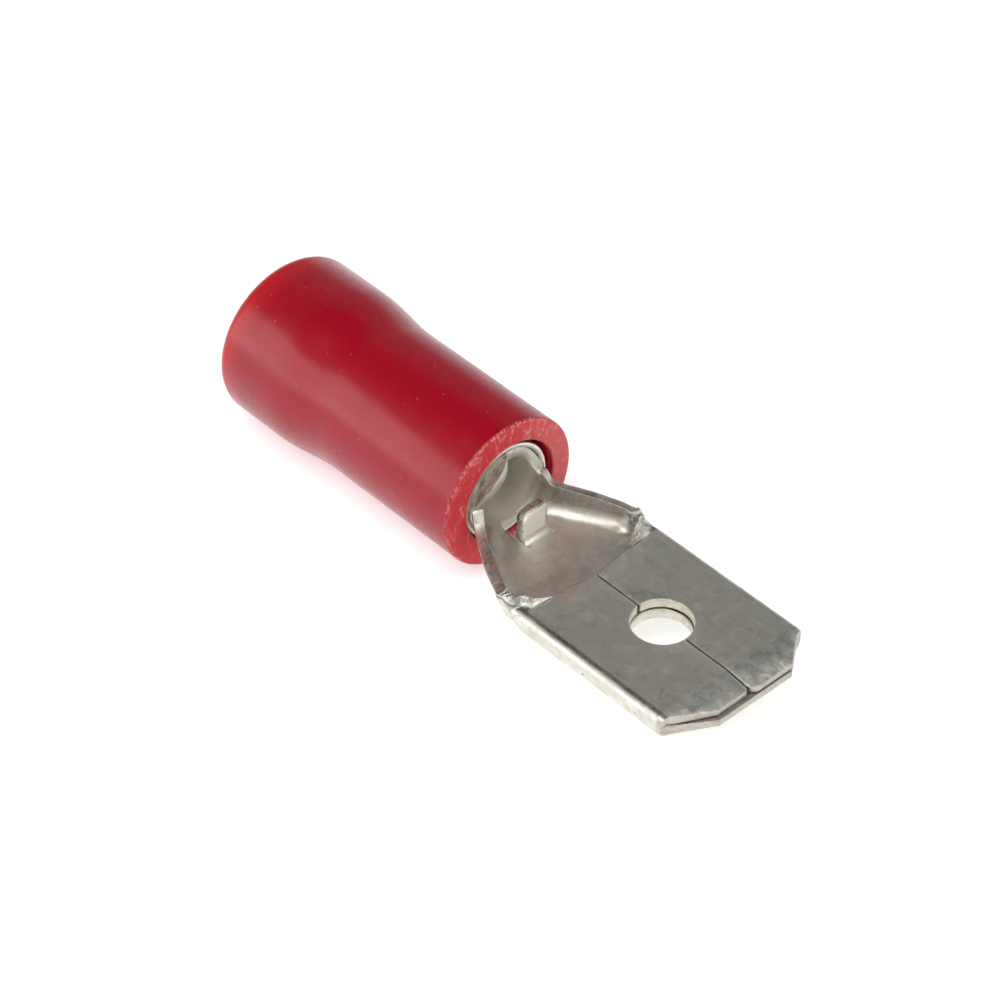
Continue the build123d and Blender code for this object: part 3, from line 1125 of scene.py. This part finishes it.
def tin_finish(settings):
    """Tinned strip: satin grey, blotched and lightly scratched, burnished along its edges with a
    painted highlight there, and with painted light and shade in its trough, bore, slit, folds and
    on the stop.
    """
    finish = Finish(bpy.data.materials.new("tinned_strip"))
    place = finish.place()
    x, y, z = finish.axes(place)
    side = y.absolute()

    blotches = finish.noise(place, 0.9, 5.0, 0.62, 0.5).ramp(0.38, 0.62)
    cloud = finish.noise(place, 3.2, 3.0, 0.6).ramp(0.35, 0.7)
    stains = finish.noise(place, 2.1, 6.0, 0.72, 0.8).ramp(0.50, 0.66)
    smears = finish.noise(finish.place(offset=(5.2, 1.7, 0)), 1.3, 5.0, 0.7, 0.5)
    smears = smears.ramp(0.52, 0.66)
    streaks = finish.noise(finish.place(scale=(0.35, 1.6, 1.6)), 9.0, 4.0, 0.65)
    streaks = streaks.ramp(0.42, 0.62)
    across = finish.place(scale=(1.8, 0.22, 1.0), offset=(3.1, 0.4, 0))
    scratches = finish.noise(across, 24.0, 2.0, 0.5).ramp(0.60, 0.72)
    specks = finish.noise(place, 30.0, 1.0, 0.5).ramp(0.70, 0.76)
    pits = finish.noise(place, 7.0, 2.0, 0.6, 0.4).ramp(0.66, 0.72)
    rubbing = finish.noise(finish.place(offset=(1.3, 6.4, 0)), 2.8, 6.0, 0.72, 0.6)
    drag = finish.noise(finish.place(scale=(2.6, 0.7, 0.7)), 3.4, 3.0, 0.6).ramp(0.42, 0.6)
    grain = finish.noise(place, 45.0, 2.0, 0.6)
    swell = finish.noise(place, 1.7, 2.0, 0.5)
    edges = edge_wear_and_sheen(finish, 0.05)

    blade, slit, seam, beside_seam = flap_places(x, z, side)
    pinch, fold = fold_places(x, z, side)
    hollow, wall = trough_places(x, z)
    bore, lip = barrel_places(x, y, z)
    stop = stop_face(x, y, z)
    lead_in = x.ramp(LEAD_IN - 0.05, LEAD_IN + 0.07)
    front = x.ramp(TIP - 0.78, TIP - 0.23)
    ragged = x.ramp(TIP - 0.53, TIP - 0.13) * finish.noise(place, 5.5, 3.0, 0.7).ramp(0.46, 0.56)
    bend_line = (x - (LEAD_IN + 0.01)).absolute().fall(0, 0.05)

    creases = crumples(finish)
    crease_reflection = crease_with_dark_reflection(finish, place, cloud)
    # Painted shade: a dark reflection by the flaps' fold edges, dark creases in the folds and a
    # shadow line at the flaps' rear edge; also the seam's dark joint and dark spots in the crumples
    # and pits
    dark = (crease_reflection * 0.9).larger(
        seam * 0.25,
        fold_crease_shade(x, z, side) * 0.85,
        rear_edge_shadow(x, z, side, cloud),
        pinch * creases.ramp(0.54, 0.6) * 0.6,
        fold * pits * 0.8,
        bend_line * 0.1,
    )

    base = finish.layers(
        settings.tin,
        (blotches * 0.55 + cloud * 0.35, settings.grime),
        (stains * 0.62, STAINED),
        (smears * 0.45, SMEARED),
        (hollow * 0.4, HOLLOW),
        (wall * 0.92, SHADED_WALL),
        (streaks * 0.12, settings.bright),
        (lead_in * (0.3 + scratches * 0.6), COINED),
        (lead_in * rubbing.ramp(0.44, 0.56) * 0.4, RUBBED_DARK),
        (front * rubbing.ramp(0.47, 0.38) * 0.4, RUBBED_LIGHT),
        (ragged * 0.45, RAGGED),
        (fold * (0.3 + cloud * 0.3), FOLDED),
        (specks * 0.6, settings.bright),
        # Bright edges: burnished wear and a painted highlight
        (edges * (1 - seam) * 0.5, settings.bright),
        # Dark lines: painted shade, the seam's dark joint, and spots in the crumples and pits
        (dark, DARK_MARKS_AND_SHADE),
        # Painted highlights beside the seam and along the lead-in bend
        (beside_seam.larger(bend_line * 0.8) * 0.4, SHINING_LINE),
        # Painted shade in the slit between the layers
        (slit * 0.8, SLIT_SHADE),
        (bore * 0.8, LIT_BORE),
        (bore * y.fall(-0.9, 0.1) * 0.6, SHADED_BORE),
        (lip * drag * 0.75, DRAGGED),
        # Painted light on the stop's front face
        (stop * 0.85, LIT_STOP_FACE),
    )
    rough = 0.32 + blotches * 0.1 + cloud * 0.06 + lead_in * 0.08 + scratches * 0.1
    rough = rough + hollow * 0.1 + wall * 0.08 + bore * 0.18 + lip * 0.2
    rough = rough + blade * x.fall(FLAP_REAR + 0.3, FLAP_REAR + 1.6) * 0.05 + stop * 0.14
    relief = grain * 0.4 + streaks * 0.35 + scratches * lead_in * 0.8 + specks * 0.5
    relief = relief + swell * 2.2 - crease_reflection * 1.5 - pits * fold * 2.5
    relief = relief + creases * pinch * 24.0 + swell * bore * 9.0
    finish.surface(
        Base_Color=base,
        Metallic=1.0,
        Roughness=rough.clamped(),
        Normal=finish.bump(relief, 0.3, 0.006),
    )
    return finish.owner


def sheared_finish(settings):
    """Sheared edges of the strip: dull torn metal with dark fractures, and bright burrs that are
    partly a painted highlight; the edges in the folds are a painted highlight.
    """
    finish = Finish(bpy.data.materials.new("sheared_edge"))
    place = finish.place()
    x, y, z = finish.axes(place)
    side = y.absolute()
    tear = finish.noise(finish.place(scale=(1.0, 1.0, 1.6)), 4.2, 4.0, 0.68, 0.6)
    smears = finish.noise(place, 1.6, 3.0, 0.6).ramp(0.38, 0.62)
    grit = finish.noise(place, 26.0, 2.0, 0.6)
    creases = crumples(finish)
    edges = edge_wear_and_sheen(finish, 0.06)

    blade = x.ramp(FLAP_REAR - 0.1, FLAP_REAR + 0.2)
    barrel = x.fall(BARREL_FRONT + 0.37, BARREL_FRONT + 0.62)
    hole = (x * x + y * y).root().fall(HOLE_RADIUS + 0.15, HOLE_RADIUS + 0.3)
    seam = blade * side.fall(0.06, 0.1) * z.ramp(FLAP_UNDER - 0.02, FLAP_UNDER + 0.02)
    folded = x.band(SHOULDER - 0.03, SHOULDER + 0.17, FLAP_REAR - 0.1, FLAP_REAR + 0.1)
    folded = folded * side.ramp(1.6, 2.0)
    fractures = tear.ramp(0.50, 0.62) * (0.6 - 0.3 * blade - 0.1 * hole - 0.35 * barrel)

    base = finish.layers(
        finish.mix(smears, TORN, TORN_DARK),
        (barrel * 0.7, BARREL_EDGE),
        (blade, BLADE_EDGE),
        (hole, HOLE_WALL),
        # Painted highlight on the edges in the folds
        (folded * 0.85, FOLD_EDGE_HIGHLIGHT),
        (folded * creases.ramp(0.52, 0.58) * 0.7, FRACTURE),
        (fractures, FRACTURE),
        # Bright burrs: edge wear and a painted highlight
        (edges * grit.ramp(0.38, 0.55) * 0.75, settings.bright),
        (seam * 0.9, SEAM_WALL),
    )
    relief = tear * 2.5 + grit * 0.8 + creases * folded * 45.0
    finish.surface(
        Base_Color=base,
        Metallic=1.0,
        Roughness=(0.42 + smears * 0.1 - edges * 0.12).clamped(),
        Normal=finish.bump(relief, 0.5, 0.008),
    )
    return finish.owner


def tube_finish(settings):
    """Drawn tube: brighter tin with faint lines along its length."""
    finish = Finish(bpy.data.materials.new("tinned_tube"))
    place = finish.place()
    along = finish.place(scale=(0.3, 2.0, 2.0))
    cloud = finish.noise(place, 2.2, 4.0, 0.6).ramp(0.35, 0.7)
    lines = finish.noise(along, 12.0, 3.0, 0.6).ramp(0.4, 0.65)
    specks = finish.noise(place, 26.0, 1.0, 0.5).ramp(0.70, 0.76)
    base = finish.layers(
        settings.tin,
        (cloud * 0.35, TUBE_CLOUD),
        (specks * 0.5 + lines * 0.15, TUBE_LINES),
    )
    finish.surface(
        Base_Color=base,
        Metallic=1.0,
        Roughness=(0.32 + cloud * 0.12).clamped(),
        Normal=finish.bump(lines * 0.5 + specks * 0.6, 0.25, 0.006),
    )
    return finish.owner


def sleeve_finish(settings):
    """Moulded sleeve: satin red, a lighter cut front face, pale scuffs on the front face and along
    the rims, a painted glow low down and at the rear, and a painted highlight towards the front
    face's upper right.
    """
    finish = Finish(bpy.data.materials.new("red_sleeve"))
    place = finish.place()
    x, y, z = finish.axes(place)
    cloud = finish.noise(place, 0.8, 3.0, 0.5).ramp(0.35, 0.7)
    scuffs = finish.noise(finish.place(scale=(1.0, 1.4, 0.8)), 2.6, 5.0, 0.72, 0.9)
    scuffs = scuffs.ramp(0.50, 0.66)
    wrinkles = (finish.noise(place, 5.5, 3.0, 0.6, 1.2) - 0.5).absolute().fall(0.0, 0.05)
    specks = finish.noise(place, 11.0, 1.0, 0.5).ramp(0.76, 0.80)
    grain = finish.noise(place, 22.0, 3.0, 0.6)
    chips = finish.noise(place, 9.0, 5.0, 0.75).ramp(0.47, 0.62)
    patch = finish.noise(place, 1.1, 2.0, 0.5).ramp(0.42, 0.6)
    edges = edge_wear_and_sheen(finish, 0.05)

    front = x.ramp(SLEEVE_FRONT - 0.05, SLEEVE_FRONT)
    rim = x.ramp(SLEEVE_FRONT - 0.13, SLEEVE_FRONT - 0.05)
    rim = rim * off_axis(y, z).ramp(SLEEVE_OUTER - 0.11, SLEEVE_OUTER - 0.06)
    low = z.fall(-1.2, 0.9) * (0.7 + 0.3 * x.ramp(SLEEVE_FRONT - 2.33, SLEEVE_FRONT - 0.33))
    # Painted glow low down and at the rear, as of light through the thin red
    painted_glow = low.larger(x.ramp(SLEEVE_REAR + 1.38, SLEEVE_REAR + 0.28))
    # Lighter cut front face, lighter still low down and towards +Y: partly its own colour, partly
    # painted glow and light
    cut = front * (0.5 + 0.08 * y.ramp(-1.6, 1.6) + 0.3 * z.fall(-1.2, 1.2))
    high = z.ramp(2.6, 4.4) * (0.2 + wrinkles * 0.3)
    # Scuffs on the front face, stronger towards the top, and a painted highlight towards +Y
    scuffs_and_sheen = scuffs * (0.1 + patch * 0.22 + wrinkles * 0.1 + high)
    scuffs_and_sheen = front * (scuffs_and_sheen + y.ramp(0.2, 2.2) * 0.14)

    base = finish.layers(
        settings.red,
        (cloud * 0.35, DEEP_RED),
        # Painted glow; the cut face, partly with painted glow; scuffs with a painted highlight
        (painted_glow * 0.55, PAINTED_GLOW_RED),
        (cut, CUT_RED_AND_GLOW),
        (scuffs_and_sheen, SCUFF_AND_SHEEN_RED),
        (specks * 0.3, settings.scuff),
        ((rim * chips * 0.55).larger(edges * chips * 0.35), settings.scuff),
    )
    rough = 0.23 + cloud * 0.05 + front * 0.28 + specks * 0.15 + rim * 0.2
    relief = grain * 0.5 + specks * 0.8 + front * (scuffs * 1.5 + wrinkles)
    finish.surface(
        Base_Color=base,
        Roughness=rough.clamped(),
        IOR=1.45,
        Specular_IOR_Level=0.5,
        Normal=finish.bump(relief, 0.2, 0.01),
    )
    return finish.owner


def seen_light(finish):
    """1 for the rays that see the studio: from the camera, off gloss and through glass."""
    kinds = ("Is Camera Ray", "Is Glossy Ray", "Is Transmission Ray")
    rays = finish.node("ShaderNodeLightPath", output=kinds)
    return rays[0].larger(*rays[1:])


def floor_finish(settings):
    """Matt white floor that shows the shadow and nothing else."""
    finish = Finish(bpy.data.materials.new("studio_floor"))
    lit = finish.node("ShaderNodeBsdfDiffuse", {}, {"Color": opaque(settings.floor)}, "BSDF")
    glow = {"Color": opaque(WHITE_WALL), "Strength": seen_light(finish) * FLOOR_GLOW}
    glowing = finish.node("ShaderNodeEmission", {}, glow, "Emission")
    both = finish.node("ShaderNodeAddShader", {}, [lit, glowing], "Shader")
    finish.node("ShaderNodeOutputMaterial", {}, {"Surface": both})
    return finish.owner


def studio_world():
    """White walls at the horizon under a dimmer ceiling."""
    finish = Finish(bpy.data.worlds.new("studio"))
    coords = finish.node("ShaderNodeTexCoord", output="Generated")
    up = finish.axes(coords)[2]
    wall = finish.mix(up.ramp(0.02, 0.32), WHITE_WALL, UPPER_WALL)
    colour = finish.mix(up.ramp(0.7, 0.84), wall, CEILING)
    light = finish.node("ShaderNodeBackground", {}, {"Color": colour, "Strength": 1.0})
    finish.node("ShaderNodeOutputWorld", {}, {"Surface": light})
    return finish.owner


# Operators


class TERMINAL_OT_strip(Operator):
    """Fold the tinned strip from flat grids, thicken it, cut it and round its edges"""

    bl_idname = "terminal.strip"
    bl_label = "Tinned strip"

    def execute(self, context):
        settings = context.scene.terminal_strip
        finishes = (tin_finish(settings), sheared_finish(settings))
        strip = folded_sheet()
        trim_blade(strip)
        wear(strip, finishes, 0)
        thicken(strip)
        press_lead_in(strip)
        cut_with(strip, drill(0, 0, CLEAR_BELOW, SPLIT, HOLE_RADIUS))
        cut_with(strip, drill(0, FLAP_HOLE_SIDE, SPLIT, CLEAR_ABOVE, FLAP_HOLE_RADIUS))
        cut_with(strip, window_cutter())
        cut_with(strip, wire_stop(finishes), "UNION")
        soften_stop(strip)
        rounding = {
            "limit_method": "ANGLE",
            "angle_limit": math.radians(ROUNDED_FROM),
            "width": settings.edge_round,
            "segments": 2,
            "use_clamp_overlap": False,
        }
        use_modifier(strip, "BEVEL", "edges", **rounding)
        square_folds(strip)
        crumple(strip)
        take_up(strip)
        bpy.ops.object.shade_smooth_by_angle(angle=math.radians(STRIP_SHARP_FROM))
        use_modifier(strip, "WEIGHTED_NORMAL", "shading", keep_sharp=True)
        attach(strip, "root")
        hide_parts("terminal")
        return {"FINISHED"}


class TERMINAL_OT_tube(Operator):
    """Extrude the support tube that is pressed over the barrel, ring by ring"""

    bl_idname = "terminal.tube"
    bl_label = "Support tube"

    def execute(self, context):
        settings = context.scene.terminal_tube
        rim = settings.rim_round / MM
        front = TUBE_HIGH.x / MM - TUBE_SETBACK - rim
        rear = TUBE_LOW.x / MM + rim
        rings = arc(front, TUBE_OUTER - rim, rim, 0, 90)
        rings += neck(TUBE_OUTER, TUBE_REAR_OUTER, TUBE_NECK_STEPS)
        rings += arc(rear, TUBE_REAR_OUTER - rim, rim, 90, 180)
        rings += arc(rear, TUBE_REAR_BORE + rim, rim, 180, 270)
        rings += neck(TUBE_BORE, TUBE_REAR_BORE, TUBE_NECK_STEPS)[::-1]
        rings += arc(front, TUBE_BORE + rim, rim, 270, 360)
        tube = ring_piece("support_tube_spun", rings, settings.segments)
        tube.data.materials.append(tube_finish(settings))
        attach(tube, "root")
        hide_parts("support_tube")
        return {"FINISHED"}


class TERMINAL_OT_sleeve(Operator):
    """Extrude the insulating sleeve with its neck and flared mouth, ring by ring"""

    bl_idname = "terminal.sleeve"
    bl_label = "Insulating sleeve"

    def execute(self, context):
        settings = context.scene.terminal_sleeve
        rim, rear_rim = SLEEVE_RIM, SLEEVE_REAR_RIM
        rings = arc(SLEEVE_FRONT - rim, SLEEVE_OUTER - rim, rim, 0, 90)
        rings += neck(SLEEVE_OUTER, SLEEVE_REAR_OUTER, SLEEVE_NECK_STEPS)
        rings += arc(SLEEVE_REAR + rear_rim, SLEEVE_REAR_OUTER - rear_rim, rear_rim, 90, 180, 8)
        rings += [(SLEEVE_REAR + forward, radius) for forward, radius in MOUTH]
        rings += neck(SLEEVE_GRIP, SLEEVE_REAR_GRIP, SLEEVE_NECK_STEPS)[::-1]
        rings += [(SLEEVE_FRONT - back, radius) for back, radius in FRONT_LIP]
        sleeve = ring_piece("sleeve_spun", rings, settings.segments)
        for vertex in sleeve.data.vertices:
            x, y, z = vertex.co / MM
            if x > SLEEVE_FRONT - LIP_LENGTH and math.hypot(y, z - AXIS) < LIP_RADIUS:
                vertex.co.y += LIP_SIDE * MM
        sleeve.data.materials.append(sleeve_finish(settings))
        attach(sleeve, "root")
        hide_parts("insulating_sleeve")
        return {"FINISHED"}


def look_along(azimuth, elevation):
    """Unit vector towards a place at an azimuth and elevation in degrees."""
    a, e = math.radians(azimuth), math.radians(elevation)
    return Vector((math.cos(a) * math.cos(e), math.sin(a) * math.cos(e), math.sin(e)))


def soft_lamp(name, target, azimuth, elevation, distance, size, watts):
    """Square area lamp that faces the target."""
    towards = look_along(azimuth, elevation)
    deselect_all()
    bpy.ops.object.light_add(type="AREA", location=target + towards * distance)
    lamp = bpy.context.object
    lamp.name = name
    lamp.rotation_euler = towards.to_track_quat("Z", "Y").to_euler()
    lamp.data.size = size
    lamp.data.energy = watts


class TERMINAL_OT_stage(Operator):
    """Set up the floor, the light and the camera"""

    bl_idname = "terminal.stage"
    bl_label = "Stage"

    def execute(self, context):
        settings = context.scene.terminal_stage
        deselect_all()
        bpy.ops.mesh.primitive_plane_add(size=4.0, location=(0, 0, SLEEVE_LOW.z))
        floor = context.object
        floor.name = "studio_floor"
        floor.data.materials.append(floor_finish(settings))

        context.scene.world = studio_world()
        for name, lamp in LAMPS.items():
            soft_lamp(name, Vector(LAMP_TARGET) * MM, *lamp)

        deselect_all()
        towards = look_along(*CAMERA_DIRECTION)
        place = Vector(CAMERA_TARGET) * MM + towards * settings.distance
        bpy.ops.object.camera_add(location=place)
        camera = context.object
        camera.name = "studio_camera"
        camera.rotation_euler = towards.to_track_quat("Z", "Y").to_euler()
        camera.data.lens = settings.lens
        camera.data.sensor_width = 36.0
        camera.data.clip_start = 0.001
        camera.data.clip_end = 20.0
        context.scene.camera = camera
        context.scene.view_settings.view_transform = "Standard"
        return {"FINISHED"}


class TERMINAL_PT_builder(Panel):
    """Steps that build the terminal"""

    bl_label = "Male spade terminal"
    bl_idname = "TERMINAL_PT_builder"
    bl_space_type = "VIEW_3D"
    bl_region_type = "UI"
    bl_category = "Terminal"

    def draw(self, context):
        for step in STEPS:
            self.layout.operator(step.bl_idname)


STEPS = (TERMINAL_OT_strip, TERMINAL_OT_tube, TERMINAL_OT_sleeve, TERMINAL_OT_stage)
GROUPS = {
    "terminal_strip": StripSettings,
    "terminal_tube": TubeSettings,
    "terminal_sleeve": SleeveSettings,
    "terminal_stage": StageSettings,
}


def register():
    for name, group in GROUPS.items():
        bpy.utils.register_class(group)
        setattr(bpy.types.Scene, name, PointerProperty(type=group))
    for step in STEPS:
        bpy.utils.register_class(step)
    bpy.utils.register_class(TERMINAL_PT_builder)


def unregister():
    bpy.utils.unregister_class(TERMINAL_PT_builder)
    for step in reversed(STEPS):
        bpy.utils.unregister_class(step)
    for name, group in reversed(list(GROUPS.items())):
        delattr(bpy.types.Scene, name)
        bpy.utils.unregister_class(group)


def plain(box):
    """A box's corners as plain lists of numbers."""
    return [[float(part) for part in corner] for corner in box]


def main():
    register()
    bpy.ops.terminal.strip()
    bpy.ops.terminal.tube()
    bpy.ops.terminal.sleeve()
    bpy.ops.terminal.stage()


if __name__ == "__main__":
    main()
